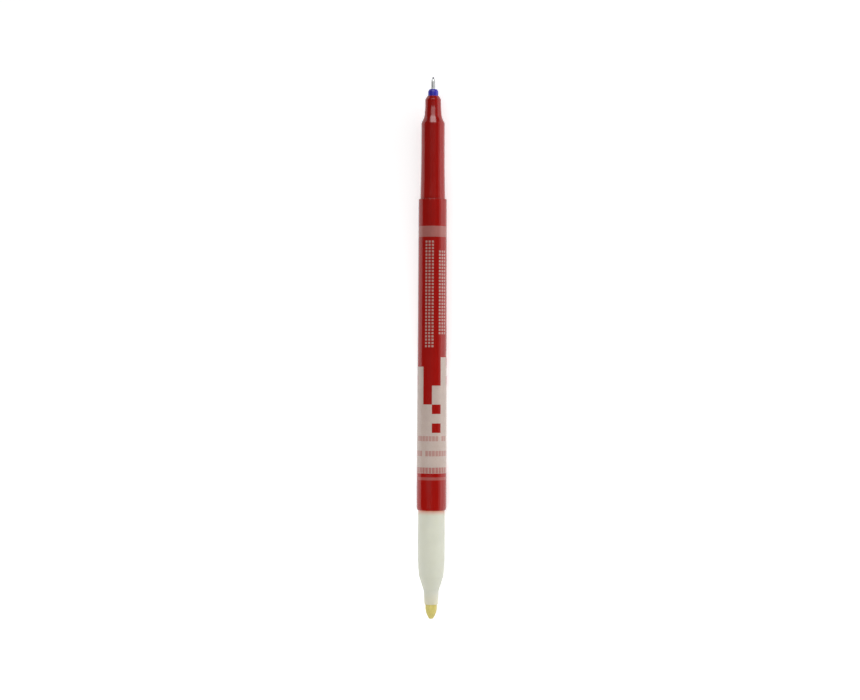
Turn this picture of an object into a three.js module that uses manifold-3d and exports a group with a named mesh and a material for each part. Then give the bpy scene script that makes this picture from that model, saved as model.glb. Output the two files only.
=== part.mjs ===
// Double-ended ink eraser pen, uncapped, lying on its side.
// One end carries a yellow fibre nib that wipes out ink, the other a metal-clad blue fine point that writes over the
// wiped place. All sizes are in millimetres. +X runs along the pen towards the blue point, +Z is up, and the origin is
// on the table under the middle of the pen's length.
import * as THREE from "three";
import { mergeVertices } from "three/addons/utils/BufferGeometryUtils.js";
import Module from "manifold-3d";

const wasm = await Module();
wasm.setup();

// Lengths along the pen, in order from the eraser nib's end to the blue point's end
const nibReach = 4;
const eraserMouthLength = 3.65;
const eraserConeLength = 4;
const eraserBodyLength = 18.5;
const barrelLength = 86;
const gripLength = 21.05;
const flareLength = 3;
const noseLength = 4.5;
const holderReach = 1.9;
const sleeveReach = 2.8;
const pointReach = 0.6;

// Barrel: a moulded tube, slightly tapered outside, with a straight bore at each end and a wall across its middle
const barrelEraserDiameter = 8.3;
const barrelBlueDiameter = 7.8;
const barrelWall = 0.75;
const partitionThickness = 1.2;
const eraserRimRadius = 0.2;
const blueRimChamfer = 0.15;
const collarDepth = 0.6;
const ribCount = 4;
const ribThickness = 0.6;

// Sections: what both have inside the barrel
const spigotLength = 8;
const spigotWall = 0.55;
const beadHeight = 0.15;
const beadLength = 0.8;
const beadFromShoulder = 3;

// Eraser end
const eraserBodyDiameter = 7.38;
const eraserFrontDiameter = 6.65;
const eraserFrontEasing = 5.3;
const eraserTubeDiameter = 4.1;
const eraserMouthDiameter = 3.76;
const eraserMouthEdge = 0.1;
const nibDiameter = 3.2;
const nibTaperLength = 3.1;
const nibEndDiameter = 1.5;
const nibEndRadius = 0.3;
const nibBoreLength = 13;
const nibBite = 5;

// Blue end
const gripDiameter = 6.48;
const gripHeelDiameter = 6.9;
const gripHeelLength = 16;
const noseDiameter = 4.4;
const noseBaseDiameter = 4.45;
const noseLeadLength = 1.5;
const noseLip = 0.12;
const noseLeadCurve = 1.4;
const flareHollow = 1.7;
const holderDiameter = 2.95;
const holderFrontDiameter = 2.85;
const holderChamferLength = 0.6;
const holderChamferDepth = 0.35;
const holderSeatLength = 6.5;
const flangeLip = 0.4;
const flangeLength = 1.6;
const holderTailLength = 4;
const sleeveDiameter = 1.1;
const sleeveWall = 0.13;
const sleeveSeatLength = 4;
const crimpLength = 0.6;
const crimpDepth = 0.12;
const feedDiameter = 1.9;
const feedBite = 5.5;
const feedTaperLength = 0.8;

// Fibre reservoirs, each wrapped in a film
const filmThickness = 0.12;
const reservoirGap = 1;

// Clearances between pieces, on the radius and end to end
const pushFit = 0.05;
const looseFit = 0.1;

// Sides of the turned pieces, and steps in a curve
const wideSides = 48;
const narrowSides = 24;
const arcSteps = 4;

// Places along the pen, counted from the eraser nib's end
const eraserMouth = nibReach;
const eraserConeStart = eraserMouth + eraserMouthLength;
const eraserBodyStart = eraserConeStart + eraserConeLength;
const barrelStart = eraserBodyStart + eraserBodyLength;
const barrelEnd = barrelStart + barrelLength;
const flareStart = barrelEnd + gripLength;
const noseStart = flareStart + flareLength;
const noseEnd = noseStart + noseLength;
const holderEnd = noseEnd + holderReach;
const sleeveEnd = holderEnd + sleeveReach;
const pointEnd = sleeveEnd + pointReach;
const middleWall = barrelStart + barrelLength / 2;
const eraserWall = middleWall - partitionThickness / 2;
const blueWall = middleWall + partitionThickness / 2;
const eraserSpigotEnd = barrelStart + spigotLength;
const blueSpigotEnd = barrelEnd - spigotLength;

// The blue holder's flange stops behind the nose's bore, and the ink reservoir starts behind the holder's tail.
const flangeSeat = noseEnd - holderSeatLength;
const flangeEnd = flangeSeat - pushFit - flangeLength;
const holderTail = flangeEnd - holderTailLength;
const sleeveSeat = holderEnd - sleeveSeatLength;
const inkReservoirOpen = holderTail - reservoirGap;
const eraserReservoirOpen = eraserMouth + nibBoreLength + reservoirGap;

// Radii that follow from the driving sizes
const boreRadius = barrelBlueDiameter / 2 - barrelWall;
const spigotRadius = boreRadius - pushFit;
const spigotBoreRadius = spigotRadius - spigotWall;
const filmRadius = spigotBoreRadius - looseFit;
const coreRadius = filmRadius - filmThickness;
const nibRadius = nibDiameter / 2;
const holderRadius = holderDiameter / 2;
const holderBoreRadius = holderRadius + pushFit;
const sleeveRadius = sleeveDiameter / 2;
const sleeveBoreRadius = sleeveRadius - sleeveWall;
const feedRadius = feedDiameter / 2;

const finishes = {
  barrel: finish(0x8f1a12, 0.28),
  grip: finish(0x8c1a12, 0.34),
  cream: finish(0xd9d9c8, 0.4),
  nib: finish(0xd3c162, 0.9),
  blue: finish(0x322d99, 0.3),
  steel: finish(0xb9bcbe, 0.25, 1),
  point: finish(0x55585f, 0.5),
  blueFibre: finish(0x2a3a8f, 0.95),
  paleFibre: finish(0xe9e4c8, 0.95),
  film: finish(0xe6ecef, 0.2),
};

function finish(color, roughness, metalness = 0) {
  return new THREE.MeshStandardMaterial({ color, roughness, metalness });
}

// The barrel's outer radius at a place along the pen
function barrelRadius(place) {
  const share = (place - barrelStart) / barrelLength;
  return THREE.MathUtils.lerp(barrelEraserDiameter, barrelBlueDiameter, share) / 2;
}

// A rounded outside corner from one [place, radius] point to another, along a quarter of an ellipse. The curve leaves
// the first point along the pen's axis and reaches the second one square to it.
function rounding(from, to) {
  const points = [];
  for (let i = 0; i <= arcSteps; i++) {
    const angle = (i / arcSteps) * (Math.PI / 2);
    points.push([
      from[0] + (to[0] - from[0]) * Math.sin(angle),
      to[1] + (from[1] - to[1]) * Math.cos(angle),
    ]);
  }
  return points;
}

// A shape turned about the pen's axis from an outline of [place, radius] points, which may run either way round. Its
// flats, and not its corners, have the stated radius, and one flat faces straight down.
function turned(outline, sides) {
  const toCorner = 1 / Math.cos(Math.PI / sides);
  const points = outline.map(([place, radius]) => new THREE.Vector2(radius * toCorner, place));
  if (THREE.ShapeUtils.area(points) < 0) points.reverse();
  return welded(new THREE.LatheGeometry(points, sides, Math.PI / sides));
}

// The shape with only its places kept and the corners that fall together joined
function welded(geometry) {
  geometry.deleteAttribute("normal");
  geometry.deleteAttribute("uv");
  return mergeVertices(geometry, 1e-4);
}

function toSolid(geometry) {
  return new wasm.Manifold(
    new wasm.Mesh({
      numProp: 3,
      vertProperties: new Float32Array(geometry.attributes.position.array),
      triVerts: new Uint32Array(geometry.index.array),
    }),
  );
}

function toGeometry(solid) {
  const { vertProperties, triVerts } = solid.getMesh();
  const geometry = new THREE.BufferGeometry();
  geometry.setAttribute("position", new THREE.BufferAttribute(vertProperties, 3));
  geometry.setIndex(new THREE.BufferAttribute(triVerts, 1));
  return geometry;
}

function piece(name, geometry, material) {
  geometry.computeVertexNormals();
  const mesh = new THREE.Mesh(geometry, material);
  mesh.name = name;
  return mesh;
}

// Barrel: two straight bores that meet the middle wall, a recess in each mouth for a section's collar, a groove behind
// it for the section's bead, and ribs that hold the reservoirs off the wall
function barrel() {
  const grooveRadius = boreRadius + beadHeight;
  const grooveHalf = beadLength / 2 + pushFit;
  const eraserGroove = barrelStart + beadFromShoulder;
  const blueGroove = barrelEnd - beadFromShoulder;
  const eraserCollarRadius = eraserBodyDiameter / 2 + pushFit;
  const blueCollarRadius = gripHeelDiameter / 2 + pushFit;
  const outline = [
    [blueWall, 0],
    [blueWall, boreRadius],
    [blueGroove - grooveHalf - beadHeight, boreRadius],
    [blueGroove - grooveHalf, grooveRadius],
    [blueGroove + grooveHalf, grooveRadius],
    [blueGroove + grooveHalf + beadHeight, boreRadius],
    [barrelEnd - collarDepth, boreRadius],
    [barrelEnd - collarDepth, blueCollarRadius],
    [barrelEnd, blueCollarRadius],
    [barrelEnd, barrelRadius(barrelEnd) - blueRimChamfer],
    [barrelEnd - blueRimChamfer, barrelRadius(barrelEnd - blueRimChamfer)],
    ...rounding(
      [barrelStart + eraserRimRadius, barrelRadius(barrelStart + eraserRimRadius)],
      [barrelStart, barrelRadius(barrelStart) - eraserRimRadius],
    ),
    [barrelStart, eraserCollarRadius],
    [barrelStart + collarDepth, eraserCollarRadius],
    [barrelStart + collarDepth, boreRadius],
    [eraserGroove - grooveHalf - beadHeight, boreRadius],
    [eraserGroove - grooveHalf, grooveRadius],
    [eraserGroove + grooveHalf, grooveRadius],
    [eraserGroove + grooveHalf + beadHeight, boreRadius],
    [eraserWall, boreRadius],
    [eraserWall, 0],
  ];
  let solid = toSolid(turned(outline, wideSides));
  for (let i = 0; i < ribCount; i++) {
    const angle = (i / ribCount) * 2 * Math.PI;
    solid = solid.add(toSolid(rib(eraserSpigotEnd + reservoirGap, middleWall, angle)));
    solid = solid.add(toSolid(rib(middleWall, blueSpigotEnd - reservoirGap, angle)));
  }
  return piece("barrel", toGeometry(solid), finishes.barrel);
}

// One long rib on the bore, rooted in the barrel's wall
function rib(from, to, angle) {
  const inner = filmRadius + pushFit;
  const outer = boreRadius + barrelWall / 2;
  const shape = new THREE.BoxGeometry(ribThickness, to - from, outer - inner);
  shape.translate(0, (from + to) / 2, (inner + outer) / 2);
  shape.rotateY(angle);
  return welded(shape);
}

// A spigot's outside with its snap bead, from the shoulder in to the spigot's end
function spigot(shoulder, end) {
  const inward = Math.sign(end - shoulder);
  const bead = shoulder + inward * beadFromShoulder;
  const half = (inward * beadLength) / 2;
  const rise = inward * beadHeight;
  return [
    [bead - half - rise, spigotRadius],
    [bead - half, spigotRadius + beadHeight],
    [bead + half, spigotRadius + beadHeight],
    [bead + half + rise, spigotRadius],
    [end, spigotRadius],
  ];
}

// Cream section of the eraser end: a slim tube round the nib, a cone, a body that eases in towards the cone, a collar
// in the barrel's mouth and a spigot in its bore
function eraserSection() {
  const collarEnd = barrelStart + collarDepth - pushFit;
  const nibBoreEnd = eraserMouth + nibBoreLength;
  const nibBoreRadius = nibRadius + pushFit;
  const mouthRadius = eraserMouthDiameter / 2;
  const bodyRadius = eraserBodyDiameter / 2;
  const outline = [
    [eraserMouth, nibBoreRadius],
    [eraserMouth, mouthRadius - eraserMouthEdge],
    [eraserMouth + eraserMouthEdge, mouthRadius],
    [eraserConeStart, eraserTubeDiameter / 2],
    ...eraserFront(bodyRadius),
    [barrelStart, bodyRadius],
    [collarEnd, bodyRadius],
    [collarEnd, spigotRadius],
    ...spigot(barrelStart, eraserSpigotEnd),
    [eraserSpigotEnd, spigotBoreRadius],
    [nibBoreEnd, spigotBoreRadius],
    [nibBoreEnd, nibBoreRadius],
    [eraserMouth, nibBoreRadius],
  ];
  return piece("eraser_section", turned(outline, wideSides), finishes.cream);
}

// The front of the eraser body swells from the cone's edge to the full width, fast at first and then slower.
function eraserFront(bodyRadius) {
  const drawnIn = bodyRadius - eraserFrontDiameter / 2;
  const points = [];
  for (let i = 0; i <= arcSteps; i++) {
    const share = i / arcSteps;
    points.push([eraserBodyStart + eraserFrontEasing * share, bodyRadius - drawnIn * (1 - share) ** 2]);
  }
  return points;
}

// Yellow fibre nib: a blunt bullet point and a long rod that reaches into the eraser reservoir
function eraserNib() {
  const rearEnd = eraserReservoirOpen + nibBite;
  const endRadius = nibEndDiameter / 2;
  const outline = [
    [rearEnd, 0],
    [rearEnd, nibRadius],
    ...nibTaper(endRadius),
    ...rounding([nibEndRadius, endRadius], [0, endRadius - nibEndRadius]),
    [0, 0],
  ];
  return piece("eraser_nib", turned(outline, narrowSides), finishes.nib);
}

// The nib narrows from its rod to the rounded edge of its blunt end, slowly at first and then faster.
function nibTaper(endRadius) {
  const points = [];
  for (let i = 0; i < arcSteps; i++) {
    const share = i / arcSteps;
    points.push([
      THREE.MathUtils.lerp(nibTaperLength, nibEndRadius, share),
      nibRadius - (nibRadius - endRadius) * share ** 2,
    ]);
  }
  return points;
}

// A bundle of fibre between two places and its film. The rod that draws from the bundle has a blind hole in one end.
function reservoir(name, material, openEnd, wallFace, rodRadius, bite) {
  const inward = Math.sign(wallFace - openEnd);
  const closedEnd = wallFace - inward * looseFit;
  const holeEnd = openEnd + inward * (bite + looseFit);
  const holeRadius = rodRadius + pushFit;
  const bundleRadius = coreRadius - pushFit;
  const bundle = [
    [holeEnd, 0],
    [holeEnd, holeRadius],
    [openEnd, holeRadius],
    [openEnd, bundleRadius],
    [closedEnd, bundleRadius],
    [closedEnd, 0],
  ];
  const film = [
    [openEnd, coreRadius],
    [closedEnd, coreRadius],
    [closedEnd, filmRadius],
    [openEnd, filmRadius],
    [openEnd, coreRadius],
  ];
  return [
    piece(name, turned(bundle, wideSides), material),
    piece(`${name}_film`, turned(film, wideSides), finishes.film),
  ];
}

// Red section of the blue end: a spigot and a collar in the barrel, a heel that narrows to the grip, a hollowed flare
// and a slim nose. Inside, the nose's bore holds the blue holder and a pocket takes its flange.
function gripSection() {
  const collarEnd = barrelEnd - collarDepth + pushFit;
  const pocketRadius = holderRadius + flangeLip + looseFit;
  const pocketEnd = flangeEnd - looseFit;
  const gripRadius = gripDiameter / 2;
  const noseRadius = noseDiameter / 2;
  const outline = [
    [noseEnd, holderBoreRadius],
    [flangeSeat, holderBoreRadius],
    [flangeSeat, pocketRadius],
    [pocketEnd, pocketRadius],
    [pocketEnd, spigotBoreRadius],
    [blueSpigotEnd, spigotBoreRadius],
    ...spigot(barrelEnd, blueSpigotEnd).reverse(),
    [collarEnd, spigotRadius],
    [collarEnd, gripHeelDiameter / 2],
    ...heel(gripRadius),
    ...flare(gripRadius),
    ...noseLead(noseRadius, holderBoreRadius + noseLip),
    [noseEnd, holderBoreRadius],
  ];
  return piece("grip_section", turned(outline, wideSides), finishes.grip);
}

// The heel narrows from the barrel to the grip, fast at first and then slower.
function heel(gripRadius) {
  const rise = gripHeelDiameter / 2 - gripRadius;
  const points = [];
  for (let i = 0; i <= arcSteps; i++) {
    const share = i / arcSteps;
    points.push([barrelEnd + gripHeelLength * share, gripRadius + rise * (1 - share) ** 2]);
  }
  return points;
}

// The flare between grip and nose is hollow: steepest at the grip, and easing into the nose.
function flare(gripRadius) {
  const baseRadius = noseBaseDiameter / 2;
  const steps = 2 * arcSteps;
  const points = [];
  for (let i = 0; i <= steps; i++) {
    const share = i / steps;
    points.push([
      flareStart + flareLength * share,
      baseRadius + (gripRadius - baseRadius) * (1 - share) ** flareHollow,
    ]);
  }
  return points;
}

// The nose's lead bends in slowly at first and then as a cone, down to a thin lip round the holder.
function noseLead(noseRadius, lipRadius) {
  const points = [];
  for (let i = 0; i <= arcSteps; i++) {
    const share = i / arcSteps;
    points.push([
      noseEnd - noseLeadLength * (1 - share),
      noseRadius - (noseRadius - lipRadius) * share ** noseLeadCurve,
    ]);
  }
  return points;
}

// Blue holder: its front shows before the nose, its flange sits behind the nose's bore, and its own bore carries the
// sleeve in front and the feed behind.
function pointHolder() {
  const frontRadius = holderFrontDiameter / 2;
  const sleeveHole = sleeveRadius + pushFit;
  const feedHole = feedRadius + pushFit;
  const flangeFace = flangeSeat - pushFit;
  const outline = [
    [holderEnd, sleeveHole],
    [sleeveSeat, sleeveHole],
    [sleeveSeat, feedHole],
    [holderTail, feedHole],
    [holderTail, holderRadius],
    [flangeEnd, holderRadius],
    [flangeEnd, holderRadius + flangeLip],
    [flangeFace, holderRadius + flangeLip],
    [flangeFace, holderRadius],
    [noseEnd, holderRadius],
    ...rounding([holderEnd - holderChamferLength, frontRadius], [holderEnd, frontRadius - holderChamferDepth]),
    [holderEnd, sleeveHole],
  ];
  return piece("point_holder", turned(outline, narrowSides), finishes.blue);
}

// Steel sleeve: a fine tube, drawn in at its mouth round the point
function needleSleeve() {
  const start = sleeveSeat + pushFit;
  const crimpStart = sleeveEnd - crimpLength;
  const outline = [
    [start, sleeveBoreRadius],
    [start, sleeveRadius],
    [crimpStart, sleeveRadius],
    [sleeveEnd, sleeveRadius - crimpDepth],
    [sleeveEnd, sleeveBoreRadius - crimpDepth],
    [crimpStart, sleeveBoreRadius],
    [start, sleeveBoreRadius],
  ];
  return piece("needle_sleeve", turned(outline, narrowSides), finishes.steel);
}

// Fine point: a thin rod that fills the sleeve, slims down in its crimp and ends round
function finePoint() {
  const start = sleeveSeat + pushFit;
  const crimpStart = sleeveEnd - crimpLength;
  const rodRadius = sleeveBoreRadius - pushFit;
  const tipRadius = rodRadius - crimpDepth;
  const outline = [
    [start, 0],
    [start, rodRadius],
    [crimpStart, rodRadius],
    [sleeveEnd, tipRadius],
    ...rounding([pointEnd - tipRadius, tipRadius], [pointEnd, 0]),
  ];
  return piece("fine_point", turned(outline, narrowSides), finishes.point);
}

// Feed: a fibre rod from the sleeve's rear end back into the ink reservoir, with a tapered rear end
function inkFeed() {
  const rear = inkReservoirOpen - feedBite;
  const front = sleeveSeat - pushFit;
  const outline = [
    [rear, 0],
    [rear, feedRadius / 2],
    [rear + feedTaperLength, feedRadius],
    [front, feedRadius],
    [front, 0],
  ];
  return piece("ink_feed", turned(outline, narrowSides), finishes.blueFibre);
}

// The turned pieces stand along Y; this turns them along X and lays the barrel on the table.
const pen = new THREE.Group();
pen.add(
  barrel(),
  eraserSection(),
  eraserNib(),
  ...reservoir("eraser_reservoir", finishes.paleFibre, eraserReservoirOpen, eraserWall, nibRadius, nibBite),
  gripSection(),
  pointHolder(),
  needleSleeve(),
  finePoint(),
  inkFeed(),
  ...reservoir("ink_reservoir", finishes.blueFibre, inkReservoirOpen, blueWall, feedRadius, feedBite),
);
pen.rotation.z = -Math.PI / 2;
pen.position.set(-pointEnd / 2, 0, barrelEraserDiameter / 2);

const part = new THREE.Group();
part.add(pen);

export default part;
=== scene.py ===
"""Ink eraser pen: the looks of a double-ended pen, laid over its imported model.

Run it as a script in Blender 4.5. Places and sizes are in metres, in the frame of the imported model: +X runs
along the pen towards the blue point, +Z is up, and the pen lies on the floor at Z = 0.
"""

import math

import bpy
import numpy as np
from bpy.props import FloatProperty, FloatVectorProperty, IntProperty, PointerProperty
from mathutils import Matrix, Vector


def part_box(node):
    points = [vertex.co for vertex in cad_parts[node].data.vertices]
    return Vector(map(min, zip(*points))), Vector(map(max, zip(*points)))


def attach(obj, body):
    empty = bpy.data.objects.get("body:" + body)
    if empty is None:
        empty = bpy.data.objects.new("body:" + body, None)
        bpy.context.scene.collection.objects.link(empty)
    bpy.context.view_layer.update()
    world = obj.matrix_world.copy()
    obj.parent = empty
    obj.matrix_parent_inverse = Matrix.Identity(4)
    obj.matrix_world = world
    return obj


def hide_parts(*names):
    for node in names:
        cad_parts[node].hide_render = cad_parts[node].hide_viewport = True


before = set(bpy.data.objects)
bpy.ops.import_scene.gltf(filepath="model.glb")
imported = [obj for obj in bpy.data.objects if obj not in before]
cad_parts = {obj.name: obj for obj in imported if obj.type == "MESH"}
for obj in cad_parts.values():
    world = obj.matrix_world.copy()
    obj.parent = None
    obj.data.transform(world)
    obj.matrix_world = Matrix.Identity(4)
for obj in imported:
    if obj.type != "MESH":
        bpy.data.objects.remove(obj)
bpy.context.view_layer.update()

bl_info = {
    "name": "Ink Eraser Pen",
    "version": (1, 0, 0),
    "blender": (4, 5, 0),
    "location": "View3D > Sidebar > Eraser Pen",
    "description": "Builds the pieces, finishes and stage of an ink eraser pen over its packed model",
    "category": "Object",
}

BODY = "root"
MM = 0.001

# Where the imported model's pieces begin and end along the pen, and how high its axis lies
BARREL_START, BARREL_END = (corner.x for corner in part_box("barrel"))
CREAM_MOUTH, CREAM_REAR = (corner.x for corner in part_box("eraser_section"))
NIB_END, NIB_REAR = (corner.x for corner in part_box("eraser_nib"))
GRIP_REAR, NOSE_END = (corner.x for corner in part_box("grip_section"))
HOLDER_TAIL, HOLDER_END = (corner.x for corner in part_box("point_holder"))
SLEEVE_REAR, SLEEVE_END = (corner.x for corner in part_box("needle_sleeve"))
POINT_REAR, POINT_END = (corner.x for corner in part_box("fine_point"))
AXIS = sum(corner.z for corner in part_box("barrel")) / 2

# Inside shapes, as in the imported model
PUSH_FIT = 0.05 * MM
LOOSE_FIT = 0.1 * MM
PARTITION = 1.2 * MM
COLLAR = 0.6 * MM
SPIGOT = 8 * MM
SPIGOT_WALL = 0.55 * MM
BEAD_HEIGHT = 0.15 * MM
BEAD_LENGTH = 0.8 * MM
BEAD_PLACE = 3 * MM
RIB_COUNT = 4
RIB_WIDTH = 0.6 * MM
RESERVOIR_GAP = 1 * MM
NIB_BORE = 13 * MM
HOLDER_SEAT = 6.5 * MM
FLANGE_LIP = 0.4 * MM
FLANGE = 1.6 * MM
FEED_DIAMETER = 1.9 * MM
SLEEVE_WALL = 0.13 * MM
CRIMP = 0.6 * MM
CRIMP_DEPTH = 0.12 * MM
HOLDER_CHAMFER = 0.6 * MM
HOLDER_CHAMFER_DEPTH = 0.35 * MM

# Sizes of most rounded corners, and the angle from which an edge stays sharp
CRISP = 0.03 * MM
EDGE = 0.05 * MM
SOFT = 0.1 * MM
SHARP_ANGLE = math.radians(32)

# Large squares of the print: how many go round the barrel, the cosine of the angle from straight up at
# which their limit is the fade itself, and the most that they lose beyond that angle
SQUARES_ROUND = 10
EVEN_COSINE = 0.75
MOST_LOSS = 0.3

# Bands of the print: middle and half width in mm, and how much ink they carry
BANDS = ((-36.05, 0.42, 0.18), (32.1, 1.5, 0.31))

# Strips of small squares: ends in mm, middle in degrees from straight up, rows, and how much ink they carry
STRIPS = ((0.0, 29.7, 12, 3, 0.6), (3.6, 27.0, -44, 3, 0.66))

# Rings of small squares left bare in the white: middle and half width in mm, share of squares, missing ink
RINGS = ((-25.0, 0.7, 0.8, 0.38), (-29.1, 0.75, 0.8, 0.42), (-33.75, 0.8, 1.0, 0.6))

# How far a small square reaches to each side of its middle, as a share of its pitch
STRIP_SQUARE = 0.31
RING_SQUARE = 0.42

# Surfaces: the usual range of a noise, what scuffs and ink add to the roughness, and how plastics bend light
NOISE_LOW, NOISE_HIGH = 0.3, 0.7
SCUFF = 0.04
INK_DULLNESS = 0.06
POLYPROPYLENE_IOR = 1.49
ACETAL_IOR = 1.48
POLYESTER_IOR = 1.57

# Painted glows on the off-white section for red light from the barrel and the nib's light, and their reach
PAINTED_RED_GLOW = (1.0, 0.34, 0.24)
RED_GLOW_REACH = 1.5 * MM
PAINTED_NIB_GLOW = (1.16, 1.07, 0.9)
NIB_GLOW_REACH = 4 * MM

# Stage: how far the floor reaches, its height just under the pen, its glow, and where two windows aim
FLOOR_REACH = 1.5
FLOOR_LEVEL = -0.01 * MM
FLOOR_GLOW = 0.46
FLARE_PLACE = (0.063, 0, 0)


def linear(code):
    """Linear red, green and blue of an sRGB hex colour."""
    share = np.array([int(code[i : i + 2], 16) for i in (1, 3, 5)]) / 255
    return tuple(np.where(share <= 0.04045, share / 12.92, ((share + 0.055) / 1.055) ** 2.4).tolist())


def length(name, description, millimetres):
    """A size that a user may change, in metres."""
    return FloatProperty(
        name=name, description=description, default=millimetres * MM, min=0, unit="LENGTH", precision=5
    )


def position(name, description, millimetres):
    """A place on either side of the origin that a user may change, in metres."""
    return FloatProperty(
        name=name, description=description, default=millimetres * MM, unit="LENGTH", precision=5
    )


def brightness(name, description, value):
    """A lamp's power or a light's strength that a user may change."""
    return FloatProperty(name=name, description=description, default=value, min=0)


def colour(name, description, code):
    """A colour that a user may change."""
    return FloatVectorProperty(
        name=name, description=description, default=linear(code), min=0, max=1, size=3, subtype="COLOR"
    )


class BarrelSettings(bpy.types.PropertyGroup):
    """Sizes, colours and print of the barrel"""

    eraser_diameter: length("Eraser end", "Outside diameter where the eraser section goes in", 8.3)
    blue_diameter: length("Blue end", "Outside diameter where the grip section goes in", 7.8)
    wall: length("Wall", "Thickness of the wall at the blue end", 0.75)
    rim_length: length("Eraser rim", "Length of the rounding at the eraser end", 1.2)
    rim_depth: length("Eraser rim depth", "How far that rounding goes in", 0.26)
    blue_rim: length("Blue rim", "Chamfer of the edge at the blue end", 0.08)
    plastic: colour("Plastic", "Colour of the moulded barrel", "#980c05")
    ink: colour("Ink", "Colour of the pale print", "#bdafa5")
    cell: length("Print square", "Pitch of the large squares in the print", 2.6)
    small_cell: length("Small square", "Pitch of the small squares in the print", 0.9)
    dissolve_start: position("Red ends", "Place along the pen where the red starts to break up", -1.2)
    dissolve_end: position("White starts", "Place along the pen where the last red squares end", -23)
    white_end: position("White ends", "Place along the pen where the white ends at the eraser end", -34.6)
    print_seed: IntProperty(name="Layout", description="Seed of the layout of the squares", default=54, min=0)


class EraserEndSettings(bpy.types.PropertyGroup):
    """Sizes and colours of the off-white section and the fibre nib"""

    body_diameter: length("Body", "Diameter of the section at the barrel", 7.38)
    front_diameter: length("Front", "Diameter where the cone starts", 6.65)
    front_length: length("Easing", "Length over which the body swells from the front", 5.3)
    cone: length("Cone", "Length of the cone", 4)
    mouth: length("Mouth", "Length of the slim tube round the nib", 3.65)
    tube_diameter: length("Tube", "Diameter of the slim tube at the cone", 4.1)
    mouth_diameter: length("Mouth edge", "Diameter of the slim tube at its mouth", 3.76)
    nib_diameter: length("Nib", "Diameter of the fibre nib", 3.2)
    nib_end_diameter: length("Nib end", "Diameter of the nib's blunt end", 1.5)
    nib_taper: length("Nib taper", "Length of the nib's taper", 3.1)
    plastic: colour("Plastic", "Colour of the off-white section", "#d4d5c6")
    fibre: colour("Fibre", "Colour of the nib", "#d6c873")


class BlueEndSettings(bpy.types.PropertyGroup):
    """Sizes and colours of the grip section, the holder, the sleeve and the point"""

    heel_diameter: length("Heel", "Diameter of the grip section at the barrel", 6.9)
    heel: length("Heel length", "Length over which the heel narrows to the grip", 16)
    grip_diameter: length("Grip", "Diameter of the grip", 6.48)
    nose: length("Nose", "Length of the straight nose with its lead", 3)
    nose_cone: length("Nose cone", "Length of the slim cone behind the nose", 2.75)
    nose_base_diameter: length("Nose base", "Diameter of that cone where it meets the flare", 4.82)
    flare: length("Flare", "Length of the steep cone from there to the grip", 1.7)
    hollow: length("Hollow", "Length on each side over which one cone turns into the other", 0.8)
    nose_diameter: length("Nose front", "Diameter of the nose before its lead", 4.4)
    lead: length("Lead", "Length of the nose's conical lead", 0.95)
    holder_diameter: length("Holder", "Diameter of the holder in its bore", 2.95)
    holder_front_diameter: length("Holder front", "Diameter of the holder in front of the nose", 2.85)
    sleeve_diameter: length("Sleeve", "Diameter of the steel sleeve", 1.1)
    plastic: colour("Plastic", "Colour of the grip section", "#980c05")
    holder: colour("Holder colour", "Colour of the holder", "#2f28a6")
    point: colour("Point colour", "Colour of the writing point", "#4b4e57")


class StageSettings(bpy.types.PropertyGroup):
    """Floor, lamps and camera"""

    camera_height: length("Camera height", "Height of the camera over the pen's axis", 575)
    camera_width: length("Framed width", "Width that the picture shows at the pen's axis", 238.2)
    camera_along: position("Camera along", "Place of the camera along the pen", -0.6)
    camera_aside: position("Camera aside", "Place of the camera beside the pen's axis", 0.59)
    camera_turn: FloatProperty(
        name="Camera turn", description="Turn of the camera about its view, from the pen standing upright",
        default=math.radians(0.24), subtype="ANGLE",
    )
    high: brightness("High window", "Power of the window high beyond the point", 2.6)
    key: brightness("Key window", "Power of the window beyond the blue point", 7.1)
    glint: brightness("Glint", "Power of the low window in shiny surfaces", 0.83)
    haze: brightness("Haze", "Power of the bright wall round that window", 0.78)
    side: brightness("Side window", "Power of the low window on matt surfaces", 0.58)
    top: brightness("Top lamp", "Power of the lamp above the eraser end", 0.052)
    ambient: brightness("Ambient", "Even light of the room on matt surfaces", 0.555)
    room: brightness("Room", "Brightness of the room in shiny surfaces", 0.03)
    floor: colour("Floor", "Colour of the floor", "#f2f2f2")


def put(tree, kind, inputs=(), **settings):
    """Adds one shader node. Inputs go by place or by name, and each is a number, a socket or another node."""
    node = tree.nodes.new("ShaderNode" + kind)
    for name, value in settings.items():
        setattr(node, name, value)
    pairs = inputs.items() if isinstance(inputs, dict) else enumerate(inputs)
    for key, value in pairs:
        if isinstance(value, bpy.types.Node):
            value = value.outputs[0]
        if isinstance(value, bpy.types.NodeSocket):
            tree.links.new(value, node.inputs[key])
        elif value is not None:
            node.inputs[key].default_value = value
    return node


def calc(tree, operation, *inputs):
    """Adds one Math node."""
    return put(tree, "Math", inputs, operation=operation)


def spread(tree, noise, low, high):
    """Maps the usual range of a noise to run from low to high."""
    return put(tree, "MapRange", {0: noise, 1: NOISE_LOW, 2: NOISE_HIGH, 3: low, 4: high})


def scaled(tree, tone, share):
    """A colour times a share."""
    return put(tree, "VectorMath", {0: tone, "Scale": share}, operation="SCALE")


def tinted(tree, tone, tint):
    """A colour times another."""
    return put(tree, "VectorMath", [tone, tint], operation="MULTIPLY")


def blend(tree, share, first, second):
    """The first colour where the share is 0, the second where it is 1, and a mix of both between."""
    return put(tree, "Mix", {0: share, 6: first, 7: second}, data_type="RGBA").outputs[2]


def bumped(tree, height, depth_mm, strength):
    """The normal of a surface with the given height map, whose unit is the depth."""
    return put(tree, "Bump", {"Height": height, "Distance": depth_mm * MM, "Strength": strength})


def object_place(tree):
    """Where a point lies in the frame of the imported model."""
    return put(tree, "TexCoord").outputs["Object"]


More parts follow.
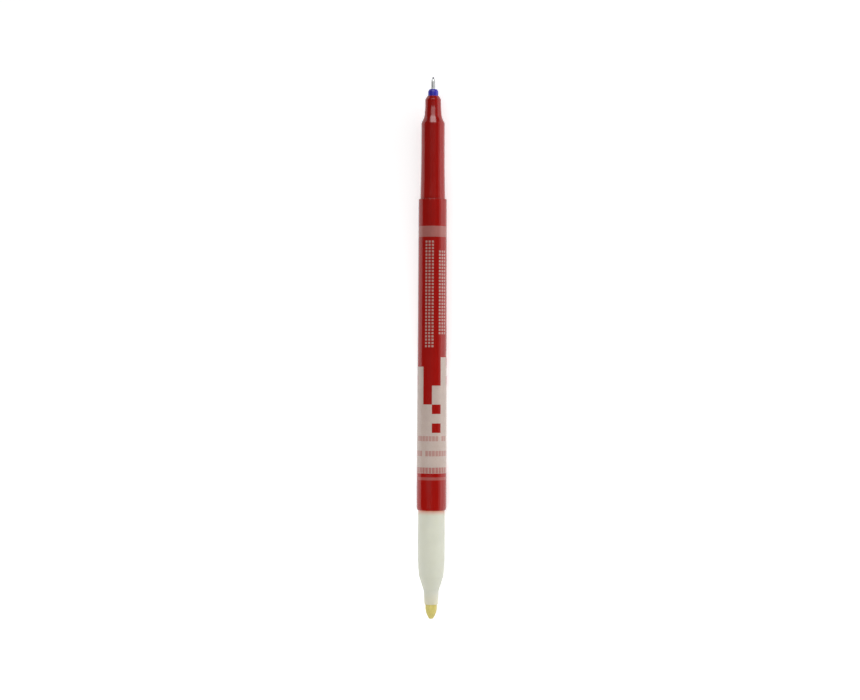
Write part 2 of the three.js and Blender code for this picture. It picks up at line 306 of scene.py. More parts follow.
def grain(tree, feature_mm, detail):
    """Noise with features of the given size, which is 1 / its scale."""
    place = object_place(tree)
    return put(tree, "TexNoise", {"Vector": place, "Scale": 1 / (feature_mm * MM), "Detail": detail})


def strands(tree, along, across, detail, rough=0.5):
    """Noise drawn out along the pen, with one scale along it and another across it."""
    place = put(tree, "Mapping", {"Vector": object_place(tree), "Scale": (along, across, across)})
    return put(tree, "TexNoise", {"Vector": place, "Scale": 1.0, "Detail": detail, "Roughness": rough})


def empty_material(name):
    """A material with an empty tree, and that tree."""
    material = bpy.data.materials.new(name)
    material.use_nodes = True
    material.node_tree.nodes.clear()
    return material, material.node_tree


def coat(tree, inputs):
    """Adds a material's surface, with its inputs by name, and its output."""
    put(tree, "OutputMaterial", [put(tree, "BsdfPrincipled", inputs)])


def moulded_surface(tree, peel_mm, peel_depth_mm, gloss, gloss_swing):
    """Roughness and normal of moulded plastic: a faint waviness left by the mould and fine hairline scuffs.

    The scuffs are noise drawn out twenty times, and handling makes the gloss drift over 9 mm.
    """
    peel = grain(tree, peel_mm, 2.0)
    long_way = put(
        tree, "Mapping",
        {"Vector": object_place(tree), "Rotation": (0, 0.2, 0.5), "Scale": (150, 3000, 3000)},
    )
    scuffs = put(tree, "TexNoise", {"Vector": long_way, "Scale": 1.0, "Detail": 3.0})
    worn = put(tree, "MapRange", {0: scuffs, 1: 0.56, 2: 0.72, 3: 0.0, 4: 1.0})
    base = spread(tree, grain(tree, 9, 3.0), gloss - gloss_swing, gloss + gloss_swing)
    roughness = calc(tree, "MULTIPLY_ADD", worn, SCUFF, base)
    height = calc(tree, "MULTIPLY_ADD", worn, -SCUFF, peel)
    return roughness, bumped(tree, height, peel_depth_mm, 1.0)


def shaded(tree, tone, swing, feature_mm):
    """A colour that drifts a little lighter and darker over the given size, as pigment does in the melt."""
    return scaled(tree, tone, spread(tree, grain(tree, feature_mm, 4.0), 1 - swing, 1 + swing))


def red_moulding(tree, tone):
    """Roughness, normal and colour of moulded red polypropylene: a soft gloss, faintly wavy and scuffed."""
    roughness, normal = moulded_surface(tree, 0.9, 0.002, 0.16, 0.02)
    return roughness, normal, shaded(tree, tone, 0.04, 5)


def red_polypropylene(tone):
    """Moulded red polypropylene of the grip."""
    material, tree = empty_material("Moulded red polypropylene")
    roughness, normal, hue = red_moulding(tree, tone)
    coat(tree, {"Base Color": hue, "Roughness": roughness, "Normal": normal, "IOR": POLYPROPYLENE_IOR})
    return material


def white_polypropylene(tone):
    """Moulded off-white polypropylene: a milky body that lets light in, with a soft gloss.

    Painted red glow: the barrel's red bounce light is painted into its colour by near^1.5, where near falls
    from 1 at the barrel to 0 at RED_GLOW_REACH. Painted nib glow: the thin tube round the nib is painted
    lighter and yellower, evenly from NIB_GLOW_REACH up to its mouth, standing in for the yellow nib's light.
    """
    material, tree = empty_material("Moulded off-white polypropylene")
    roughness, normal = moulded_surface(tree, 1.1, 0.004, 0.36, 0.05)
    plain = shaded(tree, tone, 0.025, 4)
    place = put(tree, "SeparateXYZ", [object_place(tree)])
    # Painted red glow: the barrel's red bounce light, strongest at the barrel's end
    near = put(tree, "MapRange", {0: place, 1: BARREL_START - RED_GLOW_REACH, 2: BARREL_START})
    hue = blend(tree, calc(tree, "POWER", near, 1.5), plain, tinted(tree, plain, PAINTED_RED_GLOW))
    # Painted nib glow: the thin tube painted lighter and yellower towards its mouth
    thin = put(tree, "MapRange", {0: place, 1: CREAM_MOUTH + NIB_GLOW_REACH, 2: CREAM_MOUTH})
    hue = blend(tree, thin, hue, tinted(tree, hue, PAINTED_NIB_GLOW))
    inputs = {
        "Base Color": hue,
        "Roughness": roughness,
        "Normal": normal,
        "IOR": POLYPROPYLENE_IOR,
        "Subsurface Weight": 0.7,
        "Subsurface Radius": (1.0, 0.95, 0.8),
        "Subsurface Scale": 1.2 * MM,
    }
    coat(tree, inputs)
    return material


def blue_acetal(tone):
    """Moulded blue acetal of the point's holder: denser than polypropylene, and finer in its waviness."""
    material, tree = empty_material("Moulded blue acetal")
    roughness, normal = moulded_surface(tree, 0.5, 0.002, 0.24, 0.03)
    hue = shaded(tree, tone, 0.05, 1.5)
    coat(tree, {"Base Color": hue, "Roughness": roughness, "Normal": normal, "IOR": ACETAL_IOR})
    return material


def scattered_squares(tree, across, along, seed, limit, half):
    """1 inside the chosen squares of a grid of pitch 1, and 0 elsewhere.

    A square is chosen if its random number is below the limit, and reaches half to each side of its middle.
    """
    cell = [calc(tree, "FLOOR", place) for place in (across, along)]
    cell_and_seed = put(tree, "CombineXYZ", [*cell, seed])
    chance = put(tree, "TexWhiteNoise", {"Vector": cell_and_seed}, noise_dimensions="3D")
    shown = calc(tree, "LESS_THAN", chance.outputs["Value"], limit)
    for place in (across, along):
        within = calc(tree, "COMPARE", calc(tree, "FRACT", place), 0.5, half)
        shown = calc(tree, "MULTIPLY", shown, within)
    return shown


def print_coverage(tree, settings):
    """How much pale ink covers each point of the barrel, from 0 to 1.

    Places come from Object coordinates: x along the pen, and the angle a about the axis from straight up,
    which is arctan2(y, z - axis). The red breaks up into squares. The limit of a square is
    fade + max(cos a - EVEN_COSINE, -MOST_LOSS), so that the red lasts longest on top. The fade falls from 1
    to 0 along the pen, and where it is 0 no square is red. A band, a strip or a ring is where a place is
    within half its width of its middle.
    """
    place = put(tree, "SeparateXYZ", [object_place(tree)])
    along = place.outputs["X"]
    height = calc(tree, "SUBTRACT", place.outputs["Z"], AXIS)
    angle = calc(tree, "ARCTAN2", place.outputs["Y"], height)

    # Large squares, each with the fade and the angle of its own middle
    turn = calc(tree, "MULTIPLY", angle, SQUARES_ROUND / math.tau)
    row = calc(tree, "MULTIPLY", along, 1 / settings.cell)
    row_middle = calc(tree, "ADD", calc(tree, "FLOOR", row), 0.5)
    fade = put(
        tree, "MapRange",
        {0: row_middle, 1: settings.dissolve_end / settings.cell, 2: settings.dissolve_start / settings.cell},
    )
    column_middle = calc(tree, "ADD", calc(tree, "FLOOR", turn), 0.5)
    tilt = calc(tree, "MULTIPLY", column_middle, math.tau / SQUARES_ROUND)
    upward = calc(tree, "SUBTRACT", calc(tree, "COSINE", tilt), EVEN_COSINE)
    limit = calc(tree, "ADD", fade, calc(tree, "MAXIMUM", upward, -MOST_LOSS))
    limit = calc(tree, "MULTIPLY", limit, calc(tree, "GREATER_THAN", fade, 0.0))
    red = scattered_squares(tree, turn, row, settings.print_seed, limit, 0.5)
    red = calc(tree, "MAXIMUM", red, calc(tree, "GREATER_THAN", along, settings.dissolve_start))
    printed = calc(tree, "GREATER_THAN", along, settings.white_end)
    ink = calc(tree, "MAXIMUM", calc(tree, "SUBTRACT", printed, red), 0.0)

    for middle, half_width, coverage in BANDS:
        band = calc(tree, "COMPARE", along, middle * MM, half_width * MM)
        ink = calc(tree, "MULTIPLY_ADD", band, coverage, ink)

    # Small squares go round by arc length, so that they are square where the barrel is slimmest
    small = settings.small_cell
    arc = calc(tree, "MULTIPLY", angle, settings.blue_diameter / 2 / small)
    small_row = calc(tree, "MULTIPLY", along, 1 / small)
    for start, end, middle, rows, coverage in STRIPS:
        shift = rows / 2 - math.radians(middle) * settings.blue_diameter / 2 / small
        strip_row = calc(tree, "ADD", arc, shift)
        strip = calc(tree, "COMPARE", strip_row, rows / 2, rows / 2)
        reach = calc(tree, "COMPARE", along, (start + end) / 2 * MM, (end - start) / 2 * MM)
        strip = calc(tree, "MULTIPLY", strip, reach)
        dots = scattered_squares(tree, strip_row, small_row, middle, 1.0, STRIP_SQUARE)
        ink = calc(tree, "MULTIPLY_ADD", calc(tree, "MULTIPLY", strip, dots), coverage, ink)
    for middle, half_width, share, lack in RINGS:
        ring = calc(tree, "COMPARE", along, middle * MM, half_width * MM)
        dots = scattered_squares(tree, arc, 0.5, middle, share, RING_SQUARE)
        ink = calc(tree, "MULTIPLY_ADD", calc(tree, "MULTIPLY", ring, dots), -lack, ink)
    return calc(tree, "MAXIMUM", ink, 0.0)


def printed_polypropylene(settings):
    """Moulded red polypropylene with a pale pad print, whose ink is a little duller and has a fine grain."""
    material, tree = empty_material("Printed red polypropylene")
    roughness, normal, body = red_moulding(tree, settings.plastic)
    white = print_coverage(tree, settings)
    ink = shaded(tree, settings.ink, 0.03, 2.5)
    even = put(tree, "MapRange", {0: grain(tree, 0.25, 2.0), 1: 0.25, 2: 0.75, 3: 0.86, 4: 1.0})
    hue = blend(tree, calc(tree, "MULTIPLY", white, even), body, ink)
    dull = calc(tree, "MULTIPLY_ADD", white, INK_DULLNESS, roughness)
    coat(tree, {"Base Color": hue, "Roughness": dull, "Normal": normal, "IOR": POLYPROPYLENE_IOR})
    return material


def ground_fibre(tone):
    """Ground polyester fibre of the nib: fine strands along the rod, damp, with a pale fuzz at the sides."""
    material, tree = empty_material("Ground polyester fibre")
    fibres = strands(tree, 400, 9000, 4.0, 0.6)
    damp = spread(tree, grain(tree, 0.7, 3.0), 0.93, 1.05)
    share = calc(tree, "MULTIPLY", spread(tree, fibres, 0.82, 1.12), damp)
    inputs = {
        "Base Color": scaled(tree, tone, share),
        "Roughness": 0.85,
        "Normal": bumped(tree, fibres, 0.03, 0.8),
        "Specular IOR Level": 0.3,
        "Sheen Weight": 0.5,
        "Sheen Roughness": 0.5,
        "Sheen Tint": (*linear("#f4f0da"), 1),
        "Subsurface Weight": 0.2,
        "Subsurface Radius": (1.0, 0.8, 0.3),
        "Subsurface Scale": 0.3 * MM,
    }
    coat(tree, inputs)
    return material


def drawn_stainless():
    """Drawn stainless steel tube: bright, with fine lengthwise die lines."""
    material, tree = empty_material("Drawn stainless steel")
    lines = strands(tree, 200, 20000, 3.0)
    tone = scaled(tree, linear("#cbcdcc"), spread(tree, lines, 0.94, 1.04))
    roughness = spread(tree, lines, 0.38, 0.48)
    normal = bumped(tree, lines, 0.001, 0.5)
    coat(tree, {"Base Color": tone, "Metallic": 1.0, "Roughness": roughness, "Normal": normal})
    return material


def ground_point(tone):
    """Ground acetal of the writing point, stained by blue-black ink."""
    material, tree = empty_material("Ground acetal point")
    stain = grain(tree, 0.08, 2.0)
    hue = scaled(tree, tone, spread(tree, stain, 0.7, 1.15))
    coat(tree, {"Base Color": hue, "Roughness": 0.35, "Normal": bumped(tree, stain, 0.004, 0.6)})
    return material


def soaked_fibre(name, code):
    """Crimped fibre bundle, soaked: strands along the bundle in lighter and darker tones."""
    material, tree = empty_material(name)
    fibres = strands(tree, 250, 6000, 4.0)
    hue = scaled(tree, linear(code), spread(tree, fibres, 0.75, 1.15))
    coat(tree, {"Base Color": hue, "Roughness": 0.6, "Normal": bumped(tree, fibres, 0.03, 0.8)})
    return material


def extruded_film():
    """Extruded polyester film round a fibre bundle: thin and shiny, with faint lengthwise streaks."""
    material, tree = empty_material("Extruded polyester film")
    streaks = strands(tree, 60, 1500, 2.0)
    tone = scaled(tree, linear("#e4eaec"), spread(tree, streaks, 0.94, 1.0))
    coat(tree, {"Base Color": tone, "Roughness": spread(tree, streaks, 0.12, 0.3), "IOR": POLYESTER_IOR})
    return material


def rounded(rows, steps):
    """An outline of x and radius with its corners rounded.

    Each row holds x, radius and the corner's size. A corner P becomes the parabola
    (1 - t)^2 A + 2 t (1 - t) P + t^2 B, whose ends A and B lie on the two edges, the corner's size from P but
    never past 45% of an edge. One more point a tenth further out on each edge keeps the shading of the long
    faces flat.
    """
    rows = np.asarray(rows, float)
    point, size = rows[:, :2], rows[:, 2]
    back = np.roll(point, 1, axis=0) - point
    ahead = np.roll(point, -1, axis=0) - point
    back_length = np.linalg.norm(back, axis=1)
    ahead_length = np.linalg.norm(ahead, axis=1)
    reach = np.minimum(size, 0.45 * np.minimum(back_length, ahead_length))
    start = point + back * (reach / back_length)[:, None]
    end = point + ahead * (reach / ahead_length)[:, None]
    t = np.linspace(0, 1, steps)[None, :, None]
    curve = (1 - t) ** 2 * start[:, None] + 2 * t * (1 - t) * point[:, None] + t**2 * end[:, None]
    before = start + 0.1 * (start - point)
    after = end + 0.1 * (end - point)
    curve = np.concatenate([before[:, None], curve, after[:, None]], axis=1).reshape(-1, 2)
    step = np.linalg.norm(curve - np.roll(curve, 1, axis=0), axis=1)
    return curve[step > 1e-8]


def turned(rows, sides=192, steps=7):
    """Points and triangles of a solid turned about the pen's axis, from rows of x, radius and corner size.

    Point (i, j) is (x_i, r_i sin a_j, axis + r_i cos a_j) with a_j = 2 pi j / sides. The outline closes
    from its last row to its first. A row on the axis is a single point. Triangles join each row to the
    next, and those with two corners on one such point are dropped.
    """
    outline = rounded(rows, steps)
    x, r = outline.T
    if np.sum(x * np.roll(r, -1) - np.roll(x, -1) * r) > 0:
        outline = outline[::-1]
        x, r = outline.T
    on_axis = r < 1e-9
    step = np.arange(sides)
    first = np.concatenate([[0], np.cumsum(np.where(on_axis, 1, sides))[:-1]])
    index = first[:, None] + np.where(on_axis[:, None], 0, step[None, :])
    angle = math.tau * step / sides
    across = r[:, None] * np.sin(angle)
    up = AXIS + r[:, None] * np.cos(angle)
    grid = np.stack([np.broadcast_to(x[:, None], across.shape), across, up], axis=-1)
    points = grid[~on_axis[:, None] | (step[None, :] == 0)]
    ahead = np.roll(index, -1, axis=0)
    beside = np.roll(index, -1, axis=1)
    opposite = np.roll(ahead, -1, axis=1)
    triangles = np.concatenate(
        [
            np.stack([index, ahead, opposite], axis=-1).reshape(-1, 3),
            np.stack([index, opposite, beside], axis=-1).reshape(-1, 3),
        ]
    )
    distinct = (
        (triangles[:, 0] != triangles[:, 1])
        & (triangles[:, 1] != triangles[:, 2])
        & (triangles[:, 2] != triangles[:, 0])
    )
    return points, triangles[distinct]


def eased(start, end, from_radius, to_radius, count=17):
    """Rows of a curve that nears its last radius: r = to + (from - to) (1 - s)^2, for s from 0 to 1."""
    share = np.linspace(0, 1, count)
    radius = to_radius + (from_radius - to_radius) * (1 - share) ** 2
    return np.stack([start + (end - start) * share, radius, np.zeros(count)], axis=1).tolist()


def quarter(start, end, count=13):
    """Rows of a quarter ellipse that leaves [x0, r0] along the pen and meets [x1, r1] across it.

    x = x0 + (x1 - x0) sin a and r = r1 + (r0 - r1) cos a, for a from 0 to 90 degrees.
    """
    angle = np.linspace(0, math.pi / 2, count)
    x = start[0] + (end[0] - start[0]) * np.sin(angle)
    radius = end[1] + (start[1] - end[1]) * np.cos(angle)
    return np.stack([x, radius, np.zeros(count)], axis=1).tolist()


def bead(shoulder, end, spigot_radius):
    """Rows of a spigot's outside with its snap bead, from the shoulder inwards."""
    inward = math.copysign(1, end - shoulder)
    middle = shoulder + inward * BEAD_PLACE
    half = inward * BEAD_LENGTH / 2
    rise = inward * BEAD_HEIGHT
    return [
        [middle - half - rise, spigot_radius, EDGE],
        [middle - half, spigot_radius + BEAD_HEIGHT, EDGE],
        [middle + half, spigot_radius + BEAD_HEIGHT, EDGE],
        [middle + half + rise, spigot_radius, EDGE],
        [end, spigot_radius, SOFT],
    ]


def solid(name, points, triangles, material, node):
    """Adds a smooth-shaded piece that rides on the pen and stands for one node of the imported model."""
    mesh = bpy.data.meshes.new(name)
    mesh.from_pydata(points.tolist(), [], triangles.tolist())
    mesh.polygons.foreach_set("use_smooth", np.ones(len(mesh.polygons), bool))
    mesh.set_sharp_from_angle(angle=SHARP_ANGLE)
    mesh.materials.append(material)
    mesh.update()
    piece = bpy.data.objects.new(name, mesh)
    bpy.context.scene.collection.objects.link(piece)
    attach(piece, BODY)
    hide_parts(node)


def barrel_radii(settings):
    """Radii of the barrel's bore, of the spigots in it and of the spigots' own bore."""
    bore = settings.blue_diameter / 2 - settings.wall
    spigot = bore - PUSH_FIT
    return bore, spigot, spigot - SPIGOT_WALL


def with_ribs(points, triangles, spans, inner, outer):
    """Adds sets of ribs to a solid: over each span of x, boxes round the axis from one radius to another.

    A box's corner (i, j, k), each 0 or 1, lies i of the way along the span, j - 1/2 of its width off the
    middle, and k of the way from the inner to the outer radius.
    """
    corners = np.array([[i, j, k] for i in (0, 1) for j in (0, 1) for k in (0, 1)], float)
    faces = np.array(
        [
            [0, 1, 3], [0, 3, 2], [4, 6, 7], [4, 7, 5], [0, 4, 5], [0, 5, 1],
            [2, 3, 7], [2, 7, 6], [0, 2, 6], [0, 6, 4], [1, 5, 7], [1, 7, 3],
        ]
    )
    for start, end in spans:
        for angle in math.tau * np.arange(RIB_COUNT) / RIB_COUNT:
            x = start + (end - start) * corners[:, 0]
            y = RIB_WIDTH * (corners[:, 1] - 0.5)
            r = inner + (outer - inner) * corners[:, 2]
            across = y * math.cos(angle) + r * math.sin(angle)
            up = AXIS - y * math.sin(angle) + r * math.cos(angle)
            triangles = np.concatenate([triangles, faces + len(points)])
            points = np.concatenate([points, np.stack([x, across, up], axis=1)])
    return points, triangles


class PEN_OT_barrel(bpy.types.Operator):
    """Turns the printed barrel with its two bores, middle wall and ribs"""

    bl_idname = "eraser_pen.barrel"
    bl_label = "Barrel"

    def execute(self, context):
        settings = context.scene.pen_barrel
        eraser_end = context.scene.pen_eraser_end
        blue_end = context.scene.pen_blue_end
        bore, _, spigot_bore = barrel_radii(settings)
        outer_start = settings.eraser_diameter / 2
        outer_end = settings.blue_diameter / 2
        rim = outer_start - (outer_start - outer_end) * settings.rim_length / (BARREL_END - BARREL_START)
        cream_collar = eraser_end.body_diameter / 2 + PUSH_FIT
        grip_collar = blue_end.heel_diameter / 2 + PUSH_FIT
        middle = (BARREL_START + BARREL_END) / 2
        groove = bore + BEAD_HEIGHT
        half = BEAD_LENGTH / 2 + PUSH_FIT
        near, far = BARREL_START + BEAD_PLACE, BARREL_END - BEAD_PLACE
        rows = [
            [middle + PARTITION / 2, 0, 0],
            [middle + PARTITION / 2, bore, 0.2 * MM],
            [far - half - BEAD_HEIGHT, bore, EDGE],
            [far - half, groove, EDGE],
            [far + half, groove, EDGE],
            [far + half + BEAD_HEIGHT, bore, EDGE],
            [BARREL_END - COLLAR, bore, CRISP],
            [BARREL_END - COLLAR, grip_collar, CRISP],
            [BARREL_END, grip_collar, 0.04 * MM],
            [BARREL_END, outer_end - settings.blue_rim, CRISP],
            [BARREL_END - settings.blue_rim, outer_end, EDGE],
            *quarter([BARREL_START + settings.rim_length, rim], [BARREL_START, rim - settings.rim_depth]),
            [BARREL_START, cream_collar, 0.04 * MM],
            [BARREL_START + COLLAR, cream_collar, CRISP],
            [BARREL_START + COLLAR, bore, CRISP],
            [near - half - BEAD_HEIGHT, bore, EDGE],
            [near - half, groove, EDGE],
            [near + half, groove, EDGE],
            [near + half + BEAD_HEIGHT, bore, EDGE],
            [middle - PARTITION / 2, bore, 0.2 * MM],
            [middle - PARTITION / 2, 0, 0],
        ]
        points, triangles = turned(rows)
        # Ribs: from the film to half way into the wall, one set on each side of the middle wall
        inner = spigot_bore - LOOSE_FIT + PUSH_FIT
        outer = bore + settings.wall / 2
        spans = (
            (BARREL_START + SPIGOT + RESERVOIR_GAP, middle),
            (middle, BARREL_END - SPIGOT - RESERVOIR_GAP),
        )
        points, triangles = with_ribs(points, triangles, spans, inner, outer)
        solid(
            "printed_barrel", points, triangles, printed_polypropylene(settings), "barrel"
        )
        return {"FINISHED"}


class PEN_OT_eraser_section(bpy.types.Operator):
    """Turns the off-white section: slim mouth, cone, easing body, collar and spigot"""

    bl_idname = "eraser_pen.eraser_section"
    bl_label = "Eraser section"

    def execute(self, context):
        settings = context.scene.pen_eraser_end
        _, spigot, spigot_bore = barrel_radii(context.scene.pen_barrel)
        nib_bore = settings.nib_diameter / 2 + PUSH_FIT
        body = settings.body_diameter / 2
        front = settings.front_diameter / 2
        cone_start = CREAM_MOUTH + settings.mouth
        body_start = cone_start + settings.cone
        # The cone ends a hair short of the front, and the swell starts past it with 87% of its rise to come
        swell_start = body_start + 0.35 * MM
        swell_radius = body - (body - front) * 0.87
        collar_end = BARREL_START + COLLAR - PUSH_FIT
        bore_end = CREAM_MOUTH + NIB_BORE
        rows = [
            [CREAM_MOUTH, nib_bore, 0.06 * MM],
            [CREAM_MOUTH, settings.mouth_diameter / 2, 0.12 * MM],
            [cone_start, settings.tube_diameter / 2, 0.25 * MM],
            [body_start - 0.02 * MM, front - 0.01 * MM, 0.3 * MM],
            *eased(swell_start, body_start + settings.front_length, swell_radius, body),
            [BARREL_START, body, 0],
            [collar_end, body, EDGE],
            [collar_end, spigot, CRISP],
            *bead(BARREL_START, CREAM_REAR, spigot),
            [CREAM_REAR, spigot_bore, SOFT],
            [bore_end, spigot_bore, SOFT],
            [bore_end, nib_bore, SOFT],
        ]
        points, triangles = turned(rows)
        solid(
            "moulded_eraser_section", points, triangles, white_polypropylene(settings.plastic),
            "eraser_section",
        )
        return {"FINISHED"}


class PEN_OT_eraser_nib(bpy.types.Operator):
    """Turns the fibre nib: a rod with a tapered, blunt end"""

    bl_idname = "eraser_pen.eraser_nib"
    bl_label = "Eraser nib"

    def execute(self, context):
        settings = context.scene.pen_eraser_end
        rod = settings.nib_diameter / 2
        end = settings.nib_end_diameter / 2
        edge = 0.35 * MM
        rows = [
            [NIB_REAR, 0, 0],
            [NIB_REAR, rod, SOFT],
            *eased(NIB_END + edge, NIB_END + settings.nib_taper, end, rod)[::-1],
            *quarter([NIB_END + edge, end], [NIB_END, end - edge])[1:],
            [NIB_END, 0, 0],
        ]
        points, triangles = turned(rows)
        solid(
            "ground_fibre_nib", points, triangles, ground_fibre(settings.fibre), "eraser_nib"
        )
        return {"FINISHED"}


class PEN_OT_grip_section(bpy.types.Operator):
    """Turns the red grip section: spigot, collar, heel, grip, hollow flare and nose"""

    bl_idname = "eraser_pen.grip_section"
    bl_label = "Grip section"

    def execute(self, context):
        settings = context.scene.pen_blue_end
        _, spigot, spigot_bore = barrel_radii(context.scene.pen_barrel)
        holder_bore = settings.holder_diameter / 2 + PUSH_FIT
        pocket = settings.holder_diameter / 2 + FLANGE_LIP + LOOSE_FIT
        flange_seat = NOSE_END - HOLDER_SEAT
        pocket_end = flange_seat - PUSH_FIT - FLANGE - LOOSE_FIT
        collar_end = BARREL_END - COLLAR + PUSH_FIT
        nose_start = NOSE_END - settings.nose
        cone_start = nose_start - settings.nose_cone
        flare_start = cone_start - settings.flare
        grip = settings.grip_diameter / 2
        lip = holder_bore + 0.12 * MM
        front = settings.nose_diameter / 2
        rows = [
            [flange_seat, holder_bore, EDGE],
            [flange_seat, pocket, EDGE],
            [pocket_end, pocket, EDGE],
            [pocket_end, spigot_bore, EDGE],
            [GRIP_REAR, spigot_bore, SOFT],
            *bead(BARREL_END, GRIP_REAR, spigot)[::-1],
            [collar_end, spigot, CRISP],
            [collar_end, settings.heel_diameter / 2, EDGE],
            *eased(BARREL_END, BARREL_END + settings.heel, settings.heel_diameter / 2, grip),
            [flare_start, grip, 0.2 * MM],
            [cone_start, settings.nose_base_diameter / 2, settings.hollow],
            [nose_start, front, 0.5 * MM],
            [NOSE_END - settings.lead, front, EDGE],
            [NOSE_END, lip, 0.06 * MM],
            [NOSE_END, holder_bore, CRISP],
        ]
        points, triangles = turned(rows, steps=17)
        solid(
            "moulded_grip_section", points, triangles, red_polypropylene(settings.plastic),
            "grip_section",
        )
        return {"FINISHED"}


class PEN_OT_fine_point(bpy.types.Operator):
    """Turns the blue holder, the steel sleeve and the writing point"""

    bl_idname = "eraser_pen.fine_point"
    bl_label = "Fine point"

    def execute(self, context):
        settings = context.scene.pen_blue_end
        holder = settings.holder_diameter / 2
        front = settings.holder_front_diameter / 2
        sleeve = settings.sleeve_diameter / 2
        sleeve_hole = sleeve + PUSH_FIT
        feed_hole = FEED_DIAMETER / 2 + PUSH_FIT
        flange_face = NOSE_END - HOLDER_SEAT - PUSH_FIT
        flange_end = flange_face - FLANGE
        sleeve_seat = SLEEVE_REAR - PUSH_FIT
        rows = [
            [HOLDER_END, sleeve_hole, EDGE],
            [sleeve_seat, sleeve_hole, 0],
            [sleeve_seat, feed_hole, 0],
            [HOLDER_TAIL, feed_hole, SOFT],
            [HOLDER_TAIL, holder, SOFT],
            [flange_end, holder, CRISP],
            [flange_end, holder + FLANGE_LIP, EDGE],
            [flange_face, holder + FLANGE_LIP, EDGE],
            [flange_face, holder, CRISP],
            [NOSE_END, holder, EDGE],
            [NOSE_END + EDGE, front, CRISP],
            [HOLDER_END - HOLDER_CHAMFER, front, 0.15 * MM],
            [HOLDER_END, front - HOLDER_CHAMFER_DEPTH, 0.12 * MM],
        ]
        points, triangles = turned(rows, 128)
        solid(
            "moulded_point_holder", points, triangles, blue_acetal(settings.holder), "point_holder",
        )
        bore = sleeve - SLEEVE_WALL
        crimp_start = SLEEVE_END - CRIMP
        rows = [
            [SLEEVE_REAR, bore, 0.02 * MM],
            [SLEEVE_REAR, sleeve, CRISP],
            [crimp_start, sleeve, 0.2 * MM],
            [SLEEVE_END, sleeve - CRIMP_DEPTH, EDGE],
            [SLEEVE_END, bore - CRIMP_DEPTH, CRISP],
            [crimp_start, bore, 0.2 * MM],
        ]
        points, triangles = turned(rows, 96)
        solid(
            "drawn_needle_sleeve", points, triangles, drawn_stainless(), "needle_sleeve"
        )
        rod = bore - PUSH_FIT
        tip = rod - CRIMP_DEPTH
        rows = [
            [POINT_REAR, 0, 0],
            [POINT_REAR, rod, CRISP],
            [crimp_start, rod, 0.2 * MM],
            [SLEEVE_END, tip, 0.02 * MM],
            *quarter([POINT_END - tip, tip], [POINT_END, 0], 9),
        ]
        points, triangles = turned(rows, 96)
        solid(
            "ground_fine_point", points, triangles, ground_point(settings.point), "fine_point",
        )
        return {"FINISHED"}


class PEN_OT_inside(bpy.types.Operator):
    """Gives the reservoirs, their films and the feed their finishes"""

    bl_idname = "eraser_pen.inside"
    bl_label = "Reservoirs and feed"

    def execute(self, context):
        pale = soaked_fibre("Soaked pale fibre", "#e9e4c8")
        blue = soaked_fibre("Soaked blue fibre", "#2a3a8f")
        film = extruded_film()
        finishes = {
            "eraser_reservoir": pale,
            "eraser_reservoir_film": film,
            "ink_reservoir": blue,
            "ink_reservoir_film": film,
            "ink_feed": blue,
        }
        for name, material in finishes.items():
            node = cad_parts[name]
            node.data.materials.clear()
            node.data.materials.append(material)
        return {"FINISHED"}


def area_lamp(name, place, aim, size, energy, matt=True, shiny=True):
    """Hangs a rectangular lamp that faces a point, and that may light only matt or only shiny surfaces."""
    data = bpy.data.lights.new(name, "AREA")
    data.shape = "RECTANGLE"
    data.size, data.size_y = size
    data.energy = energy
    lamp = bpy.data.objects.new(name, data)
    lamp.location = place
    lamp.visible_diffuse = matt
    lamp.visible_glossy = shiny
    ahead, aside, up = np.array(aim, float) - np.array(place, float)
    turn = math.atan2(aside, ahead) - math.pi / 2
    lamp.rotation_euler = (math.atan2(math.hypot(ahead, aside), -up), 0, turn)
    bpy.context.scene.collection.objects.link(lamp)


def lay_floor(tone):
    """Lays matt white paper under the pen, lifted to full white for the camera and in reflections."""
    corners = ((-1, -1), (1, -1), (1, 1), (-1, 1))
    mesh = bpy.data.meshes.new("floor")
    points = [(FLOOR_REACH * x, FLOOR_REACH * y, FLOOR_LEVEL) for x, y in corners]
    mesh.from_pydata(points, [], [(0, 1, 2, 3)])
    floor = bpy.data.objects.new("floor", mesh)
    bpy.context.scene.collection.objects.link(floor)
    material, tree = empty_material("Matt white paper")
    rays = put(tree, "LightPath")
    seen = calc(tree, "MAXIMUM", rays.outputs["Is Camera Ray"], rays.outputs["Is Glossy Ray"])
    seen = calc(tree, "MAXIMUM", seen, rays.outputs["Is Transmission Ray"])
    lift = calc(tree, "MULTIPLY", seen, FLOOR_GLOW)
    paper = put(tree, "BsdfDiffuse", {"Color": (*tone, 1)})
    glow = put(tree, "Emission", {"Color": (1, 1, 1, 1), "Strength": lift})
    put(tree, "OutputMaterial", [put(tree, "AddShader", [paper, glow])])
    mesh.materials.append(material)


def fill_room(ambient, room):
    """Lights the world: white for the camera past the floor, even on matt surfaces and dim in shiny ones."""
    world = bpy.data.worlds.new("Room")
    world.use_nodes = True
    tree = world.node_tree
    tree.nodes.clear()
    rays = put(tree, "LightPath")
    seen = calc(tree, "MAXIMUM", rays.outputs["Is Camera Ray"], rays.outputs["Is Transmission Ray"])
    lit = put(tree, "MapRange", {0: rays.outputs["Is Glossy Ray"], 3: ambient, 4: room})
    strength = put(tree, "MapRange", {0: seen, 3: lit, 4: 1.0})
    background = put(tree, "Background", {"Color": (1, 1, 1, 1), "Strength": strength})
    put(tree, "OutputWorld", [background])
    bpy.context.scene.world = world


